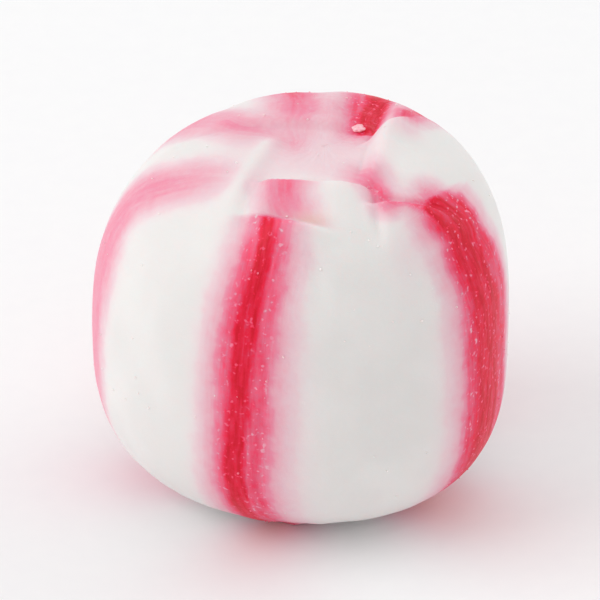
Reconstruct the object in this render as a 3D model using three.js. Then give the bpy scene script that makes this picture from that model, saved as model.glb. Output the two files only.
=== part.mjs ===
// A soft peppermint, standing on its base end.
//
// The real piece is one lump of pulled sugar. A warm white rope with red ribbons laid along it is run
// between forming jaws, which pinch it off and fold the sugar over on itself, above and below. So the solid
// is a plump barrel, a little wider below the middle, with a square pinwheel of overlapping folds in each
// end. The base end is pressed flat where the warm sweet was set down. Millimetres, +Z up.
import * as THREE from 'three';
import { mergeVertices } from 'three/addons/utils/BufferGeometryUtils.js';

const { degToRad, smoothstep } = THREE.MathUtils;

// Barrel.
const BELLY_RADIUS = 10.1;
const CROWN_HEIGHT = 10.8; // from the belly up to the crown end, before it is folded
const BASE_HEIGHT = 8.05; // from the belly down to the base end, before it is folded
const CROWN_SQUARENESS = 2.95; // exponent of the superellipse outline: 2 is an ellipse, more is squarer
const BASE_SQUARENESS = 2.85;
const CROWN_LEAN = 1.1; // how far each end leans to +X of the belly
const BASE_LEAN = 0.1;
const FLAT_LEVEL = 8; // the base end is pressed flat this far below the belly
const GIRTH_LOBES = [ // unevenness of the girth, each with its share of the radius and its turn in degrees
  { count: 2, share: 0.02, turn: -33 },
  { count: 3, share: 0.02, turn: 76 },
  { count: 4, share: 0.004, turn: 50 },
];

// Folds. Each is a lip through `at` that runs towards `heading`, in degrees anticlockwise from +X, from
// `before` short of that point to `after` past it. The sugar to the right of the lip stands `step` proud
// and eases back to the barrel over about `reach`. Seen from above, the crown's folds follow one another
// anticlockwise round a square.
const LIP_WIDTH = 0.5;
const LIP_FADE = 1.3;
const CROWN_FOLDS = [
  { at: [0.6, -3.5], heading: -2, before: 2.4, after: 2.6, step: 0.5, reach: 2.6 },
  { at: [4.4, -5.3], heading: 12, before: 1.2, after: 2.2, step: 0.35, reach: 2.2 },
  { at: [3.3, -0.6], heading: 85, before: 2.8, after: 4.6, step: 0.5, reach: 2.4 },
  { at: [0.2, 1.6], heading: 176, before: 3.2, after: 4.6, step: 0.4, reach: 3.0 },
  { at: [-2.7, -1.2], heading: 262, before: 2.4, after: 5.6, step: 0.45, reach: 1.6 },
  { at: [-0.4, -6.2], heading: -8, before: 1.4, after: 1.5, step: 0.35, reach: 1.4 },
];
const CROWN_HOLLOWS = [ // dents, each with its middle, half sizes and depth
  { at: [0.4, -0.9], half: [3.3, 2.8], depth: 0.6 },
  { at: [-0.2, -5.0], half: [1.9, 1.4], depth: 0.35 },
];
const BASE_SIDES = [0, 90, 180, 270];
const BASE_TURN = 28;
const BASE_FOLDS = BASE_SIDES.map((side) => ({
  at: turned([0.3, 2.6], side + BASE_TURN),
  heading: 180 + side + BASE_TURN,
  before: 2.6,
  after: 5,
  step: 0.4,
  reach: 3.2,
}));
const BASE_HOLLOWS = [{ at: [0, 0], half: [2.6, 2.6], depth: 0.7 }];

// Shallow pleats that the jaws gather in the shoulders, between two distances from the axis.
const PLEATS = 9;
const PLEAT_DEPTH = 0.12;
const PLEAT_INNER = 2.5;
const PLEAT_DEEPEST = 5.2;
const PLEAT_OUTER = 9.6;

// Facets. Near the ends the rings are crowded, squared and turned so that they follow the folds' lips.
const SPOKES = 88;
const RINGS = 54;
const RING_CROWDING = 0.28;
const RING_SQUARENESS = 6;
const SQUARED_RINGS = [0.3, 0.75]; // squaring fades out between these shares of the way to the belly
const CROWN_RINGS = { middle: [-0.8, -0.95], turn: -4, widen: 0.08 }; // the middle is before the lean
const BASE_RINGS = { middle: [0, 0], turn: BASE_TURN, widen: 0 };

function turned([x, y], degrees) {
  const angle = degToRad(degrees);
  return [
    x * Math.cos(angle) - y * Math.sin(angle),
    x * Math.sin(angle) + y * Math.cos(angle),
  ];
}

function sumOf(items, valueOf) {
  return items.reduce((sum, item) => sum + valueOf(item), 0);
}

// The plain barrel's surface along a unit direction from the middle of its belly.
function barrelPoint(direction) {
  const [height, squareness, lean] = direction.z > 0
    ? [CROWN_HEIGHT, CROWN_SQUARENESS, CROWN_LEAN]
    : [BASE_HEIGHT, BASE_SQUARENESS, BASE_LEAN];
  const across = Math.hypot(direction.x, direction.y) / BELLY_RADIUS;
  const along = Math.abs(direction.z) / height;
  const reach = (across ** squareness + along ** squareness) ** (-1 / squareness);
  const azimuth = Math.atan2(direction.y, direction.x);
  const girth = 1 + sumOf(
    GIRTH_LOBES,
    ({ count, share, turn }) => share * Math.cos(count * (azimuth - degToRad(turn))),
  );
  const point = direction.clone().multiplyScalar(reach);
  point.x = girth * point.x + lean * (point.z / height) ** 2;
  point.y = girth * point.y;
  return point;
}

function foldHeight([x, y], { at, heading, before, after, step, reach }) {
  const [along, left] = turned([x - at[0], y - at[1]], -heading);
  const lip = smoothstep(-left, -LIP_WIDTH / 2, LIP_WIDTH / 2);
  const slope = Math.exp(-((Math.max(-left, 0) / reach) ** 2));
  const begins = smoothstep(along, -before - LIP_FADE / 2, -before + LIP_FADE / 2);
  const ends = 1 - smoothstep(along, after - LIP_FADE, after + LIP_FADE);
  return step * lip * slope * begins * ends;
}

function hollowDepth([x, y], { at, half, depth }) {
  return depth * Math.exp(-(((x - at[0]) / half[0]) ** 4) - ((y - at[1]) / half[1]) ** 4);
}

function pleatDepth([x, y]) {
  const azimuth = Math.atan2(y, x);
  const distance = Math.hypot(x, y);
  const opens = smoothstep(distance, PLEAT_INNER, PLEAT_DEEPEST);
  const closes = 1 - smoothstep(distance, PLEAT_DEEPEST, PLEAT_OUTER);
  const wave = 0.5 + 0.5 * Math.cos(PLEATS * azimuth + 0.7 * Math.sin(2 * azimuth + 1));
  return PLEAT_DEPTH * opens * closes * wave ** 3;
}

// How far the jaws raise the sugar off the plain barrel, or sink it, at a point of either end.
function pinchHeight({ x, y, z }) {
  const [folds, hollows, height] = z > 0
    ? [CROWN_FOLDS, CROWN_HOLLOWS, CROWN_HEIGHT]
    : [BASE_FOLDS, BASE_HOLLOWS, BASE_HEIGHT];
  const raised = sumOf(folds, (fold) => foldHeight([x, y], fold));
  const sunk = sumOf(hollows, (hollow) => hollowDepth([x, y], hollow)) + pleatDepth([x, y]);
  const share = smoothstep(Math.abs(z) / height, 0.25, 0.7);
  return share * (raised - sunk);
}

function surfacePoint(direction) {
  const point = barrelPoint(direction);
  point.addScaledVector(direction, pinchHeight(point));
  point.z = Math.max(point.z, -FLAT_LEVEL);
  return point;
}

// Moves one unit direction of an even ball to its place in the rings.
function placedOnRings(direction) {
  const isCrown = direction.z > 0;
  const [{ middle, turn, widen }, height] = isCrown
    ? [CROWN_RINGS, CROWN_HEIGHT]
    : [BASE_RINGS, BASE_HEIGHT];
  const azimuth = Math.atan2(direction.y, direction.x);
  const even = Math.acos(Math.min(Math.abs(direction.z), 1));
  const inclination = even - RING_CROWDING * Math.sin(2 * even);
  const squared = 1 - smoothstep(inclination / (Math.PI / 2), ...SQUARED_RINGS);
  const squareness = 2 + (RING_SQUARENESS - 2) * squared;
  const sides = Math.abs(Math.cos(azimuth)) ** squareness + Math.abs(Math.sin(azimuth)) ** squareness;
  const spread = Math.sin(inclination) * sides ** (-1 / squareness);
  const shift = squared * Math.cos(inclination) / height;
  const wide = spread * Math.cos(azimuth) * (1 + squared * widen);
  const deep = spread * Math.sin(azimuth) * (1 - squared * widen);
  const [x, y] = turned([wide, deep], squared * turn);
  return new THREE.Vector3(
    x + shift * middle[0],
    y + shift * middle[1],
    Math.cos(inclination) * (isCrown ? 1 : -1),
  ).normalize();
}

function mintGeometry() {
  const ball = new THREE.SphereGeometry(1, SPOKES, RINGS).rotateX(Math.PI / 2);
  ball.deleteAttribute('normal');
  ball.deleteAttribute('uv');
  const mint = mergeVertices(ball, 1e-5);
  const positions = mint.getAttribute('position');
  for (let i = 0; i < positions.count; i += 1) {
    const direction = new THREE.Vector3().fromBufferAttribute(positions, i).normalize();
    positions.setXYZ(i, ...surfacePoint(placedOnRings(direction)));
  }
  mint.computeVertexNormals();
  return mint;
}

// Moves the origin to the middle of the outline, level with the flat of the base.
function setDown(geometry) {
  geometry.computeBoundingBox();
  const { min, max } = geometry.boundingBox;
  return geometry.translate(-(min.x + max.x) / 2, -(min.y + max.y) / 2, -min.z);
}

function pulledSugar() {
  return new THREE.MeshStandardMaterial({ color: 0xf2e3e4, roughness: 0.5, metalness: 0 });
}

const mint = new THREE.Mesh(setDown(mintGeometry()), pulledSugar());
mint.name = 'peppermint';

const part = new THREE.Group();
part.add(mint);

export default part;
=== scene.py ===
# A soft peppermint on a pale table.
#
# One lump of pulled sugar, warm white with soft red ribbons, pinched off between forming jaws that fold
# it over on itself at both ends. It stands on the end that was pressed flat while it was warm.
from math import cos, hypot, pi, radians, sin

import bpy
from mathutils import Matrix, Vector


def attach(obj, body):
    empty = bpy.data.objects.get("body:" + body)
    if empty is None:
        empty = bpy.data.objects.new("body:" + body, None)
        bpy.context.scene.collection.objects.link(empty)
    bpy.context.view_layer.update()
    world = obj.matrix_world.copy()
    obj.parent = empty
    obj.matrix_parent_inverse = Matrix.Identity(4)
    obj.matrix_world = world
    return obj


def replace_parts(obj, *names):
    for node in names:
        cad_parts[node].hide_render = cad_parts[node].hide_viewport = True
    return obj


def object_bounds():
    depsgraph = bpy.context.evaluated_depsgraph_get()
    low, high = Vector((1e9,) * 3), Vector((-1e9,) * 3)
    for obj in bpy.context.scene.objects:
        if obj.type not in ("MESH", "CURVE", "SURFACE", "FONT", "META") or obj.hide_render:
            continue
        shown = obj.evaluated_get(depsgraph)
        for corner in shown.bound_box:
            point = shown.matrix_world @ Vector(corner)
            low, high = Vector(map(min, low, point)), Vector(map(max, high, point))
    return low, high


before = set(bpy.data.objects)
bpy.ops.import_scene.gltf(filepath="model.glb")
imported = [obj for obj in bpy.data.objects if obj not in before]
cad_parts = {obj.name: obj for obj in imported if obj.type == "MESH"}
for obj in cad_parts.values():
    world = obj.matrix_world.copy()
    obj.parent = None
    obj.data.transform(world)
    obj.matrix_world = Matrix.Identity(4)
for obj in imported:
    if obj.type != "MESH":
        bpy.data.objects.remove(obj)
cad_low, cad_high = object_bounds()

# --- The ribbons ------------------------------------------------------------------------------------
# Seven ribbons of red sugar are laid along the white rope before it is formed, so each runs from the
# pinch of the base, up the side and into the folds of the crown. The red has a darker core and bleeds
# into the white, and the jaws smear a little of it along the crown's creases.

# The lump's sizes in millimetres. Every ribbon is a strip laid on the ball that the lump is formed from.
BARREL = {
    "Belly Radius": 10.1,
    "Crown Height": 10.8,
    "Base Height": 8.05,
    "Crown Squareness": 2.95,
    "Base Squareness": 2.85,
    "Crown Lean": 1.1,
    "Base Lean": 0.1,
    "Flat Level": 8.0,
    "Lip Fade": 1.3,
    "Bead": 0.06,
    "Pleat Depth": 0.12,
    "Lumpiness": 0.16,
    "Flute Depth": 0.05,
    "Skin Depth": 0.03,
    "Crown Gather": 0.45,
    "Segments": 370,
    "Rings": 265,
}

# Every ribbon's way from the pinch of the base to the shoulder: the height, how far it is off the axis,
# how many degrees the pinch has swirled it, and its share of the full width.
SIDE = [
    (-8.0, 1.6, 26, 0.4), (-8.0, 4.2, 12, 0.7), (-7.0, 7.2, 3, 0.9), (-4.5, 9.4, 0, 1),
    (0.0, 10.1, 0, 1), (4.6, 9.8, 0, 1),
]


def up_the_side(azimuth, half, drift=0.0, red=1.0, veil=1.0):
    """The waypoints of a ribbon's side, `azimuth` degrees to the right of the front at the belly.

    It drifts so many degrees further for each millimetre up.
    """
    way = []
    for z, off_axis, swirl, width in SIDE:
        angle = radians(azimuth + drift * z + swirl)
        way.append((off_axis * sin(angle), -off_axis * cos(angle), z, half * width, veil, red))
    return way


# Each waypoint is (x, y, z, half width, how strong the bleed is, how strong the red is). The strips that
# are called "beside" have no red and widen a ribbon's bleed. Those at a crease or a lip are smears.
RIBBONS = {
    "front": up_the_side(-17.2, 1.2, 0.18) + [
        (-2.08, -8.2, 7.9, 1.08, 1, 0.95), (-1.7, -7.0, 9.1, 0.95, 0.95, 0.94),
        (-1.5, -6.0, 9.7, 0.9, 0.8, 0.95), (-1.4, -5.2, 10.1, 0.8, 0.8, 0.95),
    ],
    "beside_front": up_the_side(-3, 0.5, 0.0, 0, 0.15),
    "beside_right": up_the_side(42, 0.4, 0.0, 0, 0.11),
    "right": up_the_side(60.4, 2.1, -0.12, 1.3) + [
        (7.55, -4.8, 7.4, 1.7, 1, 1.4), (7.28, -4.5, 8.2, 1.6, 1, 1.6), (6.52, -4.2, 9.05, 1.55, 1, 1.6),
        (6.1, -3.9, 9.45, 1.05, 0.9, 1.1), (5.9, -3.7, 9.7, 0.4, 0.7, 0.3),
    ],
    "along_right_crease": [
        (6.6, -4.1, 9.2, 0.4, 0.5, 0.5), (5.85, -4.6, 9.4, 0.6, 0.95, 1.2), (5.3, -4.7, 9.65, 0.28, 1, 1.25),
        (4.6, -4.85, 9.9, 0.05, 1, 1.2), (3.95, -5.1, 9.95, 0.06, 0.9, 1.1),
        (3.5, -5.2, 10.0, 0.06, 0.3, 0.2),
    ],
    "up_right_crease": [
        (3.95, -5.2, 9.95, 0.12, 0.8, 0.9), (3.8, -4.7, 10.1, 0.22, 0.9, 1),
        (3.4, -3.9, 10.25, 0.28, 0.95, 0.9), (2.9, -3.2, 10.4, 0.35, 0.9, 0.25),
        (2.3, -2.8, 10.5, 0.4, 0.6, 0), (1.5, -2.6, 10.6, 0.4, 0.1, 0),
    ],
    "back_right": up_the_side(124, 1.3) + [
        (6.9, 5.6, 7.2, 1.2, 1, 1), (5.6, 4.3, 8.95, 0.9, 1, 0.7), (5.05, 3.0, 9.9, 0.7, 1, 0.45),
        (4.95, 2.0, 10.3, 0.55, 1, 0.45), (4.95, 1.4, 10.4, 0.4, 0.7, 0.15),
        (4.95, 0.9, 10.45, 0.3, 0.35, 0),
    ],
    "back": up_the_side(155, 1.3) + [
        (3.7, 7.0, 8.6, 1.2, 1, 1), (3.5, 4.5, 9.9, 1.2, 1, 1.2), (3.4, 3.0, 10.4, 1.2, 1, 1.2),
        (3.4, 2.4, 10.55, 1.15, 1, 1.2), (3.35, 1.7, 10.7, 1.0, 1, 1.1),
    ],
    "far_back": up_the_side(188, 1.2) + [
        (-0.6, 7.2, 9.0, 1.0, 1, 0.8), (-0.3, 4.5, 10.4, 0.75, 1, 0.3), (-0.2, 2.8, 10.7, 0.7, 1, 0.15),
        (-0.3, 1.4, 10.6, 0.5, 0.5, 0), (-0.4, 0.2, 10.4, 0.25, 0.5, 0.1),
        (-0.4, -0.3, 10.3, 0.15, 0.4, 0.1),
    ],
    "back_left": up_the_side(-134, 1.3) + [
        (-6.3, 5.7, 7.2, 1.2, 1, 0.6), (-5.1, 4.2, 8.5, 0.9, 0.95, 0.12),
        (-4.1, 2.85, 9.45, 0.65, 0.85, 0), (-3.0, 1.6, 10.05, 0.5, 0.8, 0.05),
        (-2.0, 1.3, 10.4, 0.35, 0.75, 0), (-1.0, 0.9, 10.65, 0.3, 0.3, 0),
    ],
    "left": up_the_side(-84.5, 1.4, 0.15, 0.05) + [
        (-8.8, -0.8, 6.9, 0.95, 0.95, 0.05), (-7.75, -0.95, 8.15, 0.8, 0.9, 0.02),
        (-6.5, -1.65, 9.0, 0.65, 0.9, 0.02), (-5.0, -2.3, 9.7, 0.65, 0.8, 0),
        (-3.9, -2.8, 9.95, 0.65, 0.5, 0), (-3.2, -3.1, 10.1, 0.5, 0.25, 0),
    ],
    "under_front_lip": [
        (-0.75, -3.2, 10.6, 0.6, 0.9, 0.05), (-0.9, -4.3, 10.4, 0.6, 1, 0.2),
        (-0.9, -5.2, 10.1, 0.6, 0.95, 0.15), (-0.6, -6.0, 9.8, 0.7, 0.75, 0.05),
        (-0.2, -6.8, 9.5, 0.65, 0.5, 0), (0.1, -7.4, 9.2, 0.6, 0.5, 0),
    ],
}


def on_ball(x, y, z):
    """The direction of a place on the lump from the middle of the belly, before the crown leans."""
    if z > 0:
        x -= BARREL["Crown Lean"] * (z / BARREL["Crown Height"]) ** 2
    return Vector((x, y, z)).normalized()


def eased_through(points, steps):
    """Numbers of a smooth run through points, each a list of numbers (Catmull-Rom)."""
    run = []
    padded = [points[0], *points, points[-1]]
    for before, here, there, after in zip(padded, padded[1:], padded[2:], padded[3:]):
        for step in range(steps):
            t = step / steps
            run.append([
                b + 0.5 * t * (c - a + t * (2 * a - 5 * b + 4 * c - d + t * (3 * (b - c) + d - a)))
                for a, b, c, d in zip(before, here, there, after)
            ])
    return run + [list(points[-1])]


BLEED = 2.6  # how far the red bleeds out of a broad ribbon


def bleed_beside(half):
    """How far the red bleeds out of a ribbon of this half width: less out of a thin one."""
    return BLEED * min(1, 0.65 + 0.3 * half)


STEPS_BETWEEN = 12  # rows of a strip from one waypoint to the next
COLUMNS = 8  # faces across a strip
NO_SPINE = -1000  # so far from every ribbon's number that no edge beside a spine averages to one


def strip(way):
    """One ribbon's strip: vertices, faces, its lay (across, along, half width) and its dye."""
    placed = [(*on_ball(*point[:3]), Vector(point[:3]).length, *point[3:]) for point in way]
    run = eased_through(placed, STEPS_BETWEEN)
    ball = [Vector(numbers[:3]).normalized() for numbers in run]
    vertices, lays, dyes, along = [], [], [], 0.0
    for i, (direction, numbers) in enumerate(zip(ball, run)):
        reach, half, veil, red = numbers[3:]
        onward = ball[min(i + 1, len(ball) - 1)] - ball[max(i - 1, 0)]
        sideways = onward.cross(direction).normalized()
        if i:
            along += (direction - ball[i - 1]).length * reach
        for column in range(COLUMNS + 1):
            across = (half + bleed_beside(half)) * (2 * column / COLUMNS - 1)
            vertices.append((direction + sideways * across / reach).normalized())
            lays.append((across, along, half))
            dyes.append((veil, red, bleed_beside(half)))
    row = COLUMNS + 1
    faces = [
        (i * row + j, i * row + j + 1, i * row + row + j + 1, i * row + row + j)
        for i in range(len(ball) - 1) for j in range(COLUMNS)
    ]
    return vertices, faces, lays, dyes


def laid_ribbons():
    """One mesh of all the strips. Its attributes ribbon and spine tell them and their middles apart."""
    vertices, faces, lays, dyes, owners, spines = [], [], [], [], [], []
    row = [NO_SPINE] * (COLUMNS + 1)
    for number, way in enumerate(RIBBONS.values()):
        new_vertices, new_faces, new_lays, new_dyes = strip(way)
        faces += [tuple(corner + len(vertices) for corner in face) for face in new_faces]
        vertices += new_vertices
        lays += new_lays
        dyes += new_dyes
        owners += [number] * len(new_faces)
        row[COLUMNS // 2] = number
        spines += row * (len(new_vertices) // len(row))
    mesh = bpy.data.meshes.new("ribbon_strips")
    mesh.from_pydata(vertices, [], faces)
    for name, kind, domain, key, numbers in (
        ("lay", "FLOAT_VECTOR", "POINT", "vector", lays),
        ("dye", "FLOAT_VECTOR", "POINT", "vector", dyes),
        ("ribbon", "INT", "FACE", "value", owners),
        ("spine", "INT", "POINT", "value", spines),
    ):
        flat = [n for item in numbers for n in item] if key == "vector" else numbers
        mesh.attributes.new(name, kind, domain).data.foreach_set(key, flat)
    return mesh


# --- The lump ---------------------------------------------------------------------------------------
# A plump barrel of pulled sugar, a little wider below the middle. The jaws fold its ends over in a
# square pinwheel, crown and base alike, and gather shallow pleats in the shoulders. The lump starts as
# a ball whose every point moves out to the barrel, and then up or down with the folds.


class Value:
    """One output in a node tree. Arithmetic on it adds the Math nodes that work it out."""

    def __init__(self, tree, socket=None):
        self.tree = tree
        self.socket = socket

    def node(self, kind, settings=None, sockets=None):
        """A new node of any kind. Its settings are set first, then the values or links of its sockets."""
        made = self.tree.nodes.new(kind)
        for name, setting in (settings or {}).items():
            if name == "stops":
                ramp = made.color_ramp.elements
                while len(ramp) < len(setting):
                    ramp.new(1.0)
                for stop, (position, colour) in zip(ramp, setting):
                    stop.position = position
                    stop.color = colour
            else:
                setattr(made, name, setting)
        for name, given in (sockets or {}).items():
            if isinstance(given, Value):
                self.tree.links.new(given.socket, made.inputs[name])
            else:
                made.inputs[name].default_value = given
        return Value(self.tree, made.outputs[0] if made.outputs else None)

    def out(self, name):
        """Another output of the same node."""
        return Value(self.tree, self.socket.node.outputs[name])

    def math(self, operation, *others):
        """Math, with this as its first number."""
        return self.node("ShaderNodeMath", {"operation": operation}, dict(enumerate((self, *others))))

    def flipped(self, operation, other):
        """Math, with this as its second number."""
        return self.node("ShaderNodeMath", {"operation": operation}, {0: other, 1: self})

    def __add__(self, other):
        return self.math("ADD", other)

    def __radd__(self, other):
        return self.flipped("ADD", other)

    def __sub__(self, other):
        return self.math("SUBTRACT", other)

    def __rsub__(self, other):
        return self.flipped("SUBTRACT", other)

    def __mul__(self, other):
        return self.math("MULTIPLY", other)

    def __rmul__(self, other):
        return self.flipped("MULTIPLY", other)

    def __truediv__(self, other):
        return self.math("DIVIDE", other)

    def __rtruediv__(self, other):
        return self.flipped("DIVIDE", other)

    def __pow__(self, other):
        return self.math("POWER", other)

    def __neg__(self):
        return self * -1

    def __abs__(self):
        return self.math("ABSOLUTE")

    def eased(self, low, high):
        """0 at low and 1 at high, with an easy start and end."""
        return self.node(
            "ShaderNodeMapRange",
            {"interpolation_type": "SMOOTHSTEP"},
            {"Value": self, "From Min": low, "From Max": high},
        )

    def hill(self, width):
        """1 where this is 0, falling away on both sides over about width."""
        return (-((self / width) ** 2)).math("EXPONENT")

    def xyz(self):
        """The three numbers of a vector."""
        parts = self.node("ShaderNodeSeparateXYZ", sockets={"Vector": self})
        return [parts.out(axis) for axis in "XYZ"]

    def vector(self, x, y, z):
        """A vector of three numbers or values."""
        return self.node("ShaderNodeCombineXYZ", sockets={"X": x, "Y": y, "Z": z})

    def move(self, operation, other=None, scale=None):
        """Vector Math, with this as its first vector."""
        sockets = {0: self}
        if other is not None:
            sockets[1] = other
        if scale is not None:
            sockets["Scale"] = scale
        return self.node("ShaderNodeVectorMath", {"operation": operation}, sockets)

    def mix(self, at_none, at_full):
        """A colour between two, this far from the first to the second."""
        mixed = self.node("ShaderNodeMix", {"data_type": "RGBA"}, {0: self, 6: at_none, 7: at_full})
        return mixed.out(2)

    def noise(self, at, scale, detail=2.0, roughness=0.5):
        """Even noise from 0 to 1 round 0.5."""
        return self.node(
            "ShaderNodeTexNoise",
            sockets={"Vector": at, "Scale": scale, "Detail": detail, "Roughness": roughness},
        )


def geometry_tree(name, sizes):
    """A tree with a Geometry input and output and one named input for each size."""
    tree = bpy.data.node_groups.new(name, "GeometryNodeTree")
    tree.interface.new_socket("Geometry", in_out="INPUT", socket_type="NodeSocketGeometry")
    for size, number in sizes.items():
        kind = "NodeSocketInt" if isinstance(number, int) else "NodeSocketFloat"
        tree.interface.new_socket(size, in_out="INPUT", socket_type=kind)
    tree.interface.new_socket("Geometry", in_out="OUTPUT", socket_type="NodeSocketGeometry")
    start = Value(tree).node("NodeGroupInput")
    return tree, start


def finish_tree(start, geometry, material):
    """Ends a tree in real mesh with its material."""
    real = start.node("GeometryNodeRealizeInstances", sockets={"Geometry": geometry})
    done = start.node("GeometryNodeSetMaterial", sockets={"Geometry": real, "Material": material})
    start.node("NodeGroupOutput", sockets={"Geometry": done})


def stored(geometry, name, numbers):
    """A geometry whose points each carry three numbers under a name."""
    return geometry.node(
        "GeometryNodeStoreNamedAttribute",
        {"data_type": "FLOAT_VECTOR", "domain": "POINT"},
        {"Geometry": geometry, "Name": name, "Value": numbers},
    )


def moved(geometry, position):
    """A geometry with its points moved to a new position."""
    return geometry.node("GeometryNodeSetPosition", sockets={"Geometry": geometry, "Position": position})


def grown(name, tree, sizes, mesh):
    """A plain mesh object made by a tree, from the mesh that it starts with."""
    piece = bpy.data.objects.new(name, mesh)
    bpy.context.scene.collection.objects.link(piece)
    modifier = piece.modifiers.new(name, "NODES")
    modifier.node_group = tree
    for item in tree.interface.items_tree:
        if item.item_type == "SOCKET" and item.in_out == "INPUT" and item.name in sizes:
            modifier[item.identifier] = sizes[item.name]
    depsgraph = bpy.context.evaluated_depsgraph_get()
    plain = bpy.data.meshes.new_from_object(
        piece.evaluated_get(depsgraph), preserve_all_data_layers=True, depsgraph=depsgraph
    )
    piece.modifiers.clear()
    piece.data = plain
    plain.name = name
    return piece


# Millimetres and degrees from here on, from the middle of the belly.
GIRTH_LOBES = [(2, 0.02, -33), (3, 0.02, 76), (4, 0.004, 50)]  # count, share of the radius, turn


def fold(at, heading, before, after, step, reach, lip=0.4, roll=0.0, crease=0.09):
    """A lip through `at` that runs towards `heading`, from `before` short of there to `after` past it.

    The sugar to its right stands `step` proud and eases back over `reach`. The edge is `lip` wide, a
    `roll` may swell along it, and the sugar beside it is pressed `crease` deep.
    """
    return dict(
        at=at, heading=heading, before=before, after=after, step=step, reach=reach, lip=lip, roll=roll,
        crease=crease,
    )


FRONT_LIP = fold((0.6, -3.87), -8, 2.6, 2.4, 0.45, 2.6, lip=0.3)
LOWER_LIP = fold((-0.5, -6.2), -17, 1.1, 1.2, 0.35, 1.4, lip=0.3)
CORNER_LIP = fold((4.25, 1.05), 45, 1.5, 0.8, 0.3, 1.2, lip=0.35)
RIGHT_LIP = fold((3.55, -0.3), 80, 2.8, 4.2, 0.35, 2.4, lip=0.8, roll=0.16)
LEFT_LIP = fold((-1.97, -1.97), 251, 2.6, 3.6, 0.06, 1.6, lip=1.0, roll=0.14, crease=0.0)
CROWN_FOLDS = [
    FRONT_LIP,
    fold((4.6, -5.0), 10, 1.4, 2.2, 0.35, 2.2, lip=0.3),
    RIGHT_LIP,
    fold((0.2, 1.7), 176, 3.2, 4.6, 0.14, 3.0, lip=0.9, crease=0.03),
    LEFT_LIP,
    LOWER_LIP,
    CORNER_LIP,
]
CROWN_HOLLOWS = [
    dict(at=(0.4, -0.9), half=(3.3, 2.8), depth=0.5),
    dict(at=(-0.5, -5.0), half=(1.5, 1.3), depth=0.3),
    dict(at=(1.8, -4.6), half=(1.4, 1.3), depth=0.06),
    dict(at=(3.1, 3.0), half=(1.3, 2.0), depth=0.4),
]
CROWN_GROOVES = [((3.3, -3.9), (3.65, -6.9), 0.22), ((0.4, -6.9), (0.9, -9.0), 0.05)]  # from, to, depth


def turned(x, y, degrees):
    """(x, y) turned anticlockwise, for numbers and for values alike."""
    c, s = cos(radians(degrees)), sin(radians(degrees))
    return x * c - y * s, x * s + y * c


# The base's four folds go round its pinch like a pinwheel, turned a little out of square.
BASE_TURN = 28
BASE_FOLDS = [
    fold(turned(0.3, 2.6, side + BASE_TURN), 180 + side + BASE_TURN, 2.6, 5.0, 0.4, 3.2)
    for side in (0, 90, 180, 270)
]
BASE_HOLLOWS = [dict(at=(0.0, 0.0), half=(2.6, 2.6), depth=0.7)]

# The folds that end a ribbon: whether it shows on the lip's proud side, or else on the low side, and how
# far past the edge its red shines through the sugar.
HIDDEN_BY = {
    "front": [(LOWER_LIP, True, 0.05)],
    "under_front_lip": [(LOWER_LIP, False, 0.05), (FRONT_LIP, True, 0.05)],
    "back": [(CORNER_LIP, False, 0.8), (RIGHT_LIP, False, 0.3)],
}

BEAD_WIDTH = 0.5  # of the swelling right at a lip's edge
ROLL_WIDTH = 0.6
ROLL_IN = 0.45  # how far in from a lip's edge its roll is highest
CREASE_WIDTH = 0.2
CREASE_OUT = 0.25  # how far out from a lip's edge its crease is deepest
GROOVE_WIDTH = 0.32


def beside_fold(x, y, lip):
    """How far along a fold's lip, and to its left, a place lies."""
    return turned(x - lip["at"][0], y - lip["at"][1], -lip["heading"])


def fold_height(x, y, lip, lip_fade, bead):
    """How far a fold lifts the sugar, or presses it down in the crease."""
    along, left = beside_fold(x, y, lip)
    proud = 1 - left.eased(-lip["lip"] / 2, lip["lip"] / 2)
    right = (-left).math("MAXIMUM", 0)
    begins = along.eased(-lip["before"] - lip_fade / 2, -lip["before"] + lip_fade / 2)
    ends = 1 - along.eased(lip["after"] - lip_fade, lip["after"] + lip_fade)
    raised = proud * (lip["step"] * right.hill(lip["reach"]) + bead * right.hill(BEAD_WIDTH))
    raised = raised + lip["roll"] * (left + ROLL_IN).hill(ROLL_WIDTH)
    return begins * ends * (raised - lip["crease"] * (left - CREASE_OUT).hill(CREASE_WIDTH))


def groove_depth(x, y, groove):
    """How deep a pressed line is. It runs from one place to another, and fades out at its end."""
    (x0, y0), (x1, y1), depth = groove
    length = hypot(x1 - x0, y1 - y0)
    u, v = (x1 - x0) / length, (y1 - y0) / length
    along = (x - x0) * u + (y - y0) * v
    beside = (y - y0) * u - (x - x0) * v
    begins = along.eased(-0.4, 0.4)
    fades = along.eased(length + 0.5, length - 0.9)
    return depth * beside.hill(GROOVE_WIDTH) * begins * fades


def patch(x, y, at, half, power):
    """1 in the middle of a patch, falling away past its half sizes. A power of 4 gives it a flat top."""
    u = (x - at[0]) / half[0]
    v = (y - at[1]) / half[1]
    return (-(u ** power) - v ** power).math("EXPONENT")


def hollow_depth(x, y, hollow):
    """How deep a hollow is. It has a flat floor and soft sides."""
    return hollow["depth"] * patch(x, y, hollow["at"], hollow["half"], 4)


form, start = geometry_tree("form the lump", BARREL)
size = {name: start.out(name) for name in BARREL}
ball = start.node(
    "GeometryNodeMeshUVSphere",
    sockets={"Segments": size["Segments"], "Rings": size["Rings"], "Radius": 1.0},
)
heading = start.node("GeometryNodeInputPosition")
hx, hy, hz = heading.xyz()

# The ball's rings are gathered towards the crown, where the folds are.
from_pole = hz.math("ARCCOSINE")
gathered = from_pole - size["Crown Gather"] * from_pole.math("SINE")
outward = gathered.math("SINE") / (hx * hx + hy * hy).math("SQRT")
gathered_at = start.vector(hx * outward, hy * outward, gathered.math("COSINE"))
ball = moved(ball, gathered_at)

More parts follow.
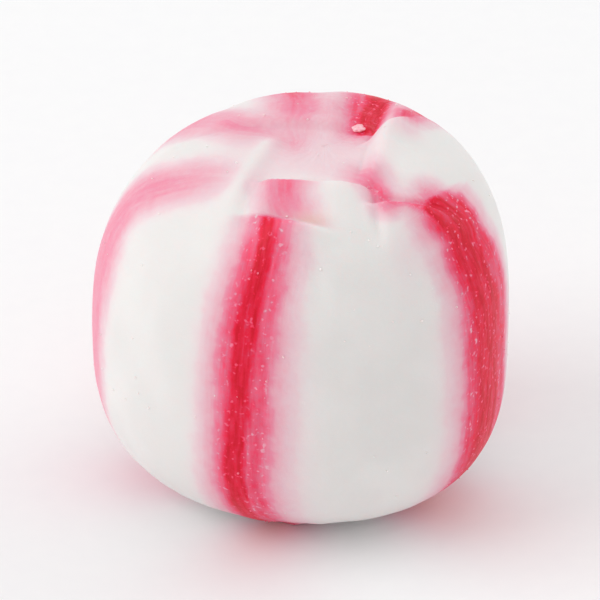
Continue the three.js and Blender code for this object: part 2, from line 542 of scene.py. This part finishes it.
# The barrel: a squared-off ball with its own height and lean above the belly and below it.
is_crown = hz.math("GREATER_THAN", 0)


def either(crown, base):
    """The crown's value above the belly and the base's below it."""
    return base + (crown - base) * is_crown


height = either(size["Crown Height"], size["Base Height"])
squareness = either(size["Crown Squareness"], size["Base Squareness"])
lean = either(size["Crown Lean"], size["Base Lean"])
across = (hx * hx + hy * hy).math("SQRT") / size["Belly Radius"]
upright = abs(hz) / height
reach = (across ** squareness + upright ** squareness) ** (-1 / squareness)
azimuth = hy.math("ARCTAN2", hx)
girth = 1 + sum(
    share * (count * (azimuth - radians(turn))).math("COSINE") for count, share, turn in GIRTH_LOBES
)
z = hz * reach
x = girth * hx * reach + lean * (z / height) ** 2
y = girth * hy * reach

# The jaws' folds, hollows and pleats.
crown_pinch = sum(fold_height(x, y, lip, size["Lip Fade"], size["Bead"]) for lip in CROWN_FOLDS)
crown_pinch -= sum(hollow_depth(x, y, hollow) for hollow in CROWN_HOLLOWS)
crown_pinch -= sum(groove_depth(x, y, groove) for groove in CROWN_GROOVES)
base_pinch = sum(fold_height(x, y, lip, size["Lip Fade"], size["Bead"]) for lip in BASE_FOLDS)
base_pinch -= sum(hollow_depth(x, y, hollow) for hollow in BASE_HOLLOWS)
PLEATS = 9
PLEAT_INNER = 2.5
PLEAT_DEEPEST = 5.2
PLEAT_OUTER = 9.6
round_axis = y.math("ARCTAN2", x)
off_axis = (x * x + y * y).math("SQRT")
unevenly = 0.7 * (2 * round_axis + 1).math("SINE")
wave = 0.5 + 0.5 * (PLEATS * round_axis + unevenly).math("COSINE")
pleats = size["Pleat Depth"] * off_axis.eased(PLEAT_INNER, PLEAT_DEEPEST)
pleats = pleats * (1 - off_axis.eased(PLEAT_DEEPEST, PLEAT_OUTER)) * wave ** 3
FOLDS_BEGIN = 0.25  # share of the way from the belly to an end
FOLDS_FULL = 0.7
towards_end = (abs(z) / height).eased(FOLDS_BEGIN, FOLDS_FULL)
pinch = towards_end * (either(crown_pinch, base_pinch) - pleats)

# Pulled sugar is never even: broad lumps all over, flutes along the way it was pulled, where the noise
# is stretched by being read on a narrow rope, and a slightly rough skin.
place = start.vector(x, y, z)
lumps = size["Lumpiness"] * (start.noise(place, 0.16, detail=2) - 0.5)
ROPE_RADIUS = 8
ROPE_RISE = 2  # from the belly to either end
rope_x = ROPE_RADIUS * azimuth.math("COSINE")
rope_y = ROPE_RADIUS * azimuth.math("SINE")
rope = start.vector(rope_x, rope_y, ROPE_RISE * upright)
flutes = size["Flute Depth"] * (start.noise(rope, 0.9, detail=3) - 0.5)
skin = size["Skin Depth"] * (start.noise(place, 1.3, detail=2) - 0.5)
out_by = pinch + lumps + flutes + skin
formed = place.move("ADD", heading.move("SCALE", scale=out_by))
fx, fy, fz = formed.xyz()
pressed = start.vector(fx, fy, fz.math("MAXIMUM", -size["Flat Level"]))

# What each point has of every ribbon: its bleed, its red band and its dark core. How far the point is
# from the ribbon is measured to the strip's middle line, and the pattern's lay comes from the strip.
strips = start.out("Geometry")


def of_strip(name, number, at):
    """The three numbers that a strip carries under a name, at the place on it nearest to another."""
    group = start.node("GeometryNodeInputNamedAttribute", {"data_type": "INT"}, {"Name": "ribbon"})
    carried = start.node("GeometryNodeInputNamedAttribute", {"data_type": "FLOAT_VECTOR"}, {"Name": name})
    sampled = start.node(
        "GeometryNodeSampleNearestSurface",
        {"data_type": "FLOAT_VECTOR"},
        {
            "Mesh": strips,
            "Value": carried,
            "Group ID": group,
            "Sample Position": at,
            "Sample Group ID": number,
        },
    )
    return sampled.xyz()


def nearest_on_spine(number):
    """The place on a strip's middle line nearest to each point of the ball."""
    group = start.node("GeometryNodeInputNamedAttribute", {"data_type": "INT"}, {"Name": "spine"})
    return start.node(
        "GeometryNodeProximity",
        {"target_element": "EDGES"},
        {"Geometry": strips, "Group ID": group, "Sample Position": heading, "Sample Group ID": number},
    )


BLEED_THINS = 1.8  # the power with which the bleed thins out
BAND_SOFTNESS = 0.45  # how far either way the band's edge is soft
CORE_FULL = 0.18  # how near its own middle the core is at its darkest
CORE_SHARE = 0.68  # of the half width, where the core ends
CORE_ASIDE = 0.26  # how far the core lies off the middle line at the belly
CORE_DRIFT = 0.02  # how much less that is for each millimetre up
CORE_WANDER = 0.5  # of the half width, how far it wanders either way
NO_CORE = 0.3  # a strip of this half width or less has no core
veil, band, core, sum_across, sum_along = 0.0, 0.0, 0.0, 0.0, 0.0
on_crown = z.eased(7.0, 9.3)
from_middle = place.move("LENGTH").out("Value")
bent = start.noise(place, 0.35, detail=1) - 0.5
frayed = 0.5 * (start.noise(place, 0.8, detail=2) - 0.5) + 0.35 * (start.noise(place, 2.4, detail=1) - 0.5)
for number, name in enumerate(RIBBONS):
    on_spine = nearest_on_spine(number)
    aside = from_middle * on_spine.out("Distance")
    across_strip, along_strip, _ = of_strip("lay", number, heading)
    half = of_strip("lay", number, on_spine)[2]
    veil_here, red_here, bleed = of_strip("dye", number, on_spine)

    shown = 1
    for lip, proud, glow in HIDDEN_BY.get(name, ()):
        left = beside_fold(x, y, lip)[1]
        hidden = left.eased(-glow, 0.25) if proud else left.eased(0.25, -glow)
        shown = shown * (1 - hidden * on_crown)

    # The band's edge is frayed, less so on a thin strip, and the bleed starts a little inside it.
    past = aside - half + frayed * half.math("MINIMUM", 1)
    own_veil = shown * veil_here * past.eased(bleed - 0.1, -0.3) ** BLEED_THINS
    own_band = shown * red_here * past.eased(BAND_SOFTNESS, -BAND_SOFTNESS)

    # The core stays inside the band.
    off_core = abs(across_strip + half * (CORE_WANDER * bent) - CORE_DRIFT * z + CORE_ASIDE + 0.4 * frayed)
    own_core = shown * red_here * off_core.eased(CORE_SHARE * half, CORE_FULL)
    own_core = own_core * (half - NO_CORE).eased(0, 0.3) * (aside - half).eased(0, -0.3)

    # Bleeds build up where they overlap, but a band or a core only shows as the stronger one.
    veil = veil + own_veil - veil * own_veil
    band = own_band.math("MAXIMUM", band)
    core = own_core.math("MAXIMUM", core)
    sum_across = sum_across + own_veil * across_strip
    sum_along = sum_along + own_veil * along_strip

# The pinch of the crown is pink all over, with a pink patch to its left and a faint one on the right
# shoulder.
BLUSH = [  # strength, middle, half sizes, power
    (0.3, (0.6, 0.6), (3.4, 4.2), 4),
    (0.2, (-3.3, 0.2), (1.1, 1.2), 2),
    (0.13, (4.8, -7.3), (0.8, 0.9), 2),
]
blush = sum(strength * patch(x, y, at, half, power) for strength, at, half, power in BLUSH) * is_crown
veil = veil + blush - veil * blush

# Painted highlight: the crest of the left lip's roll is painted whiter than the sugar beside it, where it
# catches the light.
CREST_WIDTH = 0.35
along, left = beside_fold(x, y, LEFT_LIP)
crest_highlight = (left + ROLL_IN).hill(CREST_WIDTH) * along.eased(-2.6, -1.8) * along.eased(4.2, 2.6) * is_crown
veil = veil * (1 - 0.6 * crest_highlight)

# Painted shade: the low side of the lower lip, in the shadow of the lip's overhang, is tinted a shaded
# beige.
lip_shade = patch(x, y, (0.35, -6.35), (0.8, 0.5), 2) * is_crown
lip_shade = lip_shade * beside_fold(x, y, LOWER_LIP)[1].eased(-0.05, 0.25)

marked = stored(ball, "dye", start.vector(veil, band, core))
mean_across = sum_across / (veil + 0.001)
mean_along = sum_along / (veil + 0.001)
# The lay's third number carries the painted shade under the lower lip.
marked = stored(marked, "lay", start.vector(mean_across, mean_along, lip_shade))
lump_shape = moved(marked, pressed)

# The origin is the middle of the outline, level with the flat of the base. Metres from here on.
MM = 0.001
box = start.node("GeometryNodeBoundBox", sockets={"Geometry": lump_shape})
low, high = box.out("Min").xyz(), box.out("Max").xyz()
middle = start.vector((low[0] + high[0]) / 2, (low[1] + high[1]) / 2, low[2])
stood = start.node("GeometryNodeInputPosition").move("SUBTRACT", middle).move("SCALE", scale=MM)
lump_shape = moved(lump_shape, stood)
lump_shape = start.node("GeometryNodeSetShadeSmooth", sockets={"Geometry": lump_shape})


def bare_material(name):
    """A material with nothing in its tree yet, and the tree to build it in."""
    material = bpy.data.materials.new(name)
    material.use_nodes = True
    material.node_tree.nodes.clear()
    return material, Value(material.node_tree)


def from_mesh(shade, name):
    """What the mesh's points carry under a name."""
    return shade.node("ShaderNodeAttribute", {"attribute_name": name}).out("Vector")


def paint(red, green, blue):
    """A colour given in the 0 to 255 steps of a paint chart."""
    return [*((((c / 255) + 0.055) / 1.055) ** 2.4 for c in (red, green, blue)), 1.0]


WHITE = paint(234, 231, 229)
MILKY = paint(230, 227, 225)
# The painted shade under the lower lip, a shaded beige.
LIP_SHADE = paint(222, 184, 164)
DYED = [  # from a breath of pink to the dark of a core
    (0.0, paint(237, 225, 226)), (0.12, paint(234, 201, 209)), (0.3, paint(235, 149, 172)),
    (0.5, paint(237, 104, 136)), (0.7, paint(232, 60, 96)), (0.85, paint(229, 25, 63)),
    (1.0, paint(207, 5, 40)),
]

sugar, shade = bare_material("pulled_sugar")
veil, band, core = from_mesh(shade, "dye").xyz()
lay = from_mesh(shade, "lay")
# The painted shade under the lower lip, from the lay's third number.
lip_shade = lay.xyz()[2]
place = shade.node("ShaderNodeTexCoord").out("Object").move("SCALE", scale=1 / MM)

# The streaks follow the ribbons' lay. The mottle, the crystals and the cloud are all through the sugar.
fine_streak = shade.noise(lay.move("MULTIPLY", (5.0, 0.6, 1.0)), 1.0, detail=2, roughness=0.6) - 0.5
streak = shade.noise(lay.move("MULTIPLY", (2.2, 0.3, 1.0)), 1.0, detail=2, roughness=0.6) - 0.5
mottle = shade.noise(place, 3.2, detail=3, roughness=0.65) - 0.5
crystals = shade.noise(place, 4.2, detail=1).eased(0.6, 0.76)
cloud = shade.noise(place, 0.25, detail=2)

# How red the sugar is: the bleed, the band and the core add up, and the streaks vary them.
redness = (0.3 * veil + 0.28 * band + 0.38 * core).math("MINIMUM", 0.9)
redness = redness + (0.75 * streak + 0.65 * fine_streak + 0.6 * mottle) * (0.15 * veil + 0.45 * band)
redness = redness - 0.3 * crystals * band
dyed = redness.node("ShaderNodeValToRGB", {"stops": DYED}, {"Fac": redness})
colour = (veil * 4).math("MINIMUM", 1).mix(cloud.eased(0.35, 0.65).mix(WHITE, MILKY), dyed)

# The red is also uneven in how much light it throws back, and its streaks stand up a little.
glint = 1 + (0.35 * mottle + 0.25 * fine_streak) * band
relief = 0.5 * (streak + fine_streak) * veil + 0.3 * mottle + 0.2 * shade.noise(place, 9.0, detail=2)
bump = shade.node("ShaderNodeBump", sockets={"Height": relief, "Strength": 0.4, "Distance": 0.12 * MM})
surface = shade.node(
    "ShaderNodeBsdfPrincipled",
    {"subsurface_method": "RANDOM_WALK"},
    {
        # The painted shade under the lower lip is mixed into the sugar's colour.
        "Base Color": (0.55 * lip_shade).mix(colour.move("SCALE", scale=glint), LIP_SHADE),
        "Roughness": 0.45 + 0.16 * mottle,
        "Normal": bump,
        "IOR": 1.45,
        "Specular IOR Level": 0.25,
        "Subsurface Weight": 0.6,
        "Subsurface Radius": (1.0, 0.62, 0.58),
        "Subsurface Scale": 0.5 * MM,
    },
)
shade.node("ShaderNodeOutputMaterial", sockets={"Surface": surface})
finish_tree(start, lump_shape, sugar)
lump = grown("pulled_sugar_lump", form, BARREL, laid_ribbons())

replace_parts(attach(lump, "root"), "peppermint")

# --- The bloom of sugar -----------------------------------------------------------------------------
# Fine sugar dries out of the surface in grains a tenth of a millimetre across, sunk to the waist. They
# show most on the red ribbons, where they are pale pink, and one crumb is stuck in the back ribbon.
BLOOM = {  # grains to the square millimetre, and radii in millimetres
    "Grains on Red": 0.6,
    "Grains on White": 0.1,
    "Grain Size": 0.05,
    "Crumb Size": 0.29,
    "Seed": 7,
}
CRUMB_DYE = (0.8, 0.5, 0.0)  # bleed, band and core, as on the lump
CRUMB_AT = (2.83, 1.35, 18.5)  # millimetres from the middle of the base

grain_sugar, shade = bare_material("sugar_grain")
grain_veil, grain_band, _ = from_mesh(shade, "dye").xyz()
dyed_here = 0.3 * grain_veil + 0.7 * grain_band
grain_place = shade.node("ShaderNodeTexCoord").out("Object").move("SCALE", scale=1 / MM)
frosted = shade.noise(grain_place, 6.0, detail=1) - 0.5
grain_surface = shade.node(
    "ShaderNodeBsdfPrincipled",
    sockets={
        "Base Color": (dyed_here + 0.8 * frosted).mix(paint(252, 246, 244), paint(248, 122, 150)),
        "Roughness": 0.45 + 0.3 * frosted,
        "IOR": 1.5,
        "Specular IOR Level": 0.25,
    },
)
shade.node("ShaderNodeOutputMaterial", sockets={"Surface": grain_surface})

bloom, start = geometry_tree("grow the bloom", BLOOM)
size = {name: start.out(name) for name in BLOOM}
dye = start.node("GeometryNodeInputNamedAttribute", {"data_type": "FLOAT_VECTOR"}, {"Name": "dye"})
band_here = dye.xyz()[1]
thickly = size["Grains on White"] + (size["Grains on Red"] - size["Grains on White"]) * band_here
LOWEST_GRAIN = 0.12  # millimetres above the table
clear_of_table = start.node("GeometryNodeInputPosition").xyz()[2].math("GREATER_THAN", LOWEST_GRAIN * MM)
spread = start.node(
    "GeometryNodeDistributePointsOnFaces",
    sockets={
        "Mesh": start.out("Geometry"),
        "Density": clear_of_table * thickly / MM ** 2,
        "Seed": size["Seed"],
    },
)
crystal = start.node(
    "GeometryNodeMeshIcoSphere", sockets={"Radius": size["Grain Size"] * MM, "Subdivisions": 1}
)


def any_between(low, high):
    """A vector for each grain, each number of it between low and high."""
    return start.node(
        "FunctionNodeRandomValue",
        {"data_type": "FLOAT_VECTOR"},
        {0: (low, low, low), 1: (high, high, high), "Seed": size["Seed"]},
    )


tumbled = any_between(0, 2 * pi)
uneven = any_between(0.5, 1.6)
grains = start.node(
    "GeometryNodeInstanceOnPoints",
    sockets={"Points": spread, "Instance": crystal, "Rotation": tumbled, "Scale": uneven},
)

# The crumb: a flattened, rough bit of sugar, moved to the place on the lump nearest to where it is stuck.
crumb = start.node(
    "GeometryNodeMeshIcoSphere", sockets={"Radius": size["Crumb Size"] * MM, "Subdivisions": 4}
)
crumb_place = start.node("GeometryNodeInputPosition")
rough = start.noise(crumb_place, 3.2 / MM, detail=2) - 0.5
rough_place = crumb_place.move("MULTIPLY", (1.1, 0.9, 0.6)).move("SCALE", scale=1 + 1.3 * rough)
stuck_at = start.node(
    "GeometryNodeProximity",
    {"target_element": "FACES"},
    {"Geometry": start.out("Geometry"), "Sample Position": start.vector(*(MM * c for c in CRUMB_AT))},
)
crumb = moved(crumb, stuck_at.move("ADD", rough_place))
crumb = start.node("GeometryNodeSetShadeSmooth", sockets={"Geometry": crumb})
crumb = stored(crumb, "dye", CRUMB_DYE)
together = start.node("GeometryNodeJoinGeometry")
for part in (grains, crumb):
    bloom.links.new(part.socket, together.socket.node.inputs["Geometry"])
finish_tree(start, together, grain_sugar)
grains = grown("sugar_bloom", bloom, BLOOM, lump.data)
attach(grains, "root")

# --- The table --------------------------------------------------------------------------------------
# A sheet of pale matt card, far wider than the view. The sweet just stands on it, and it is no part of
# the sweet.
HALF_TABLE = 1.5
FIBRE_SCALE = 900.0
corners = [(u * HALF_TABLE, v * HALF_TABLE, 0) for u, v in ((-1, -1), (1, -1), (1, 1), (-1, 1))]
card_mesh = bpy.data.meshes.new("table")
card_mesh.from_pydata(corners, [], [(0, 1, 2, 3)])

card, shade = bare_material("pale_card")
fibre = shade.noise(shade.node("ShaderNodeTexCoord").out("Object"), FIBRE_SCALE, detail=3) - 0.5
card_surface = shade.node(
    "ShaderNodeBsdfPrincipled",
    sockets={
        "Base Color": (0.5 + fibre).mix(paint(247, 247, 247), paint(244, 244, 245)),
        "Roughness": 0.7,
        "Specular IOR Level": 0.2,
    },
)
shade.node("ShaderNodeOutputMaterial", sockets={"Surface": card_surface})
card_mesh.materials.append(card)
table = bpy.data.objects.new("table", card_mesh)
bpy.context.scene.collection.objects.link(table)

# --- The light --------------------------------------------------------------------------------------
# A white room, with large soft boxes to the left, above and to the right. The left one is brightest, so
# the sweet is a little darker on its right and its shadow is faint and soft.
ROOM_STRENGTH = 0.735
SOFT_BOXES = {  # place, side and watts
    "left_softbox": ((-0.55, -0.1, 0.4), 0.5, 1.7),
    "top_softbox": ((0.0, 0.15, 0.8), 0.6, 0.5),
    "right_softbox": ((0.6, 0.3, 0.4), 0.5, 1.0),
}
centre = (cad_low + cad_high) / 2
for name, (place, side, watts) in SOFT_BOXES.items():
    softbox = bpy.data.objects.new(name, bpy.data.lights.new(name, "AREA"))
    softbox.data.size = side
    softbox.data.energy = watts
    softbox.location = place
    softbox.rotation_euler = (centre - softbox.location).to_track_quat("-Z", "Y").to_euler()
    bpy.context.scene.collection.objects.link(softbox)

room = bpy.data.worlds.new("room")
room.use_nodes = True
air = room.node_tree.nodes["Background"]
air.inputs["Color"].default_value = (1, 1, 1, 1)
air.inputs["Strength"].default_value = ROOM_STRENGTH
bpy.context.scene.world = room
bpy.context.scene.view_settings.view_transform = "Standard"

# --- The camera -------------------------------------------------------------------------------------
# A very long lens, thirty centimetres off in front of the sweet and a third of the way up to overhead,
# so that the folds of the crown show above the broad white panel.
ELEVATION = radians(31)
DISTANCE = 0.3
LENS = 368  # millimetres, on a film 36 wide
camera = bpy.data.objects.new("camera", bpy.data.cameras.new("camera"))
bpy.context.scene.collection.objects.link(camera)
camera.location = centre + DISTANCE * Vector((0, -cos(ELEVATION), sin(ELEVATION)))
camera.rotation_euler = (pi / 2 - ELEVATION, 0, 0)
camera.data.lens = LENS
camera.data.sensor_width = 36
camera.data.clip_end = 10
bpy.context.scene.camera = camera
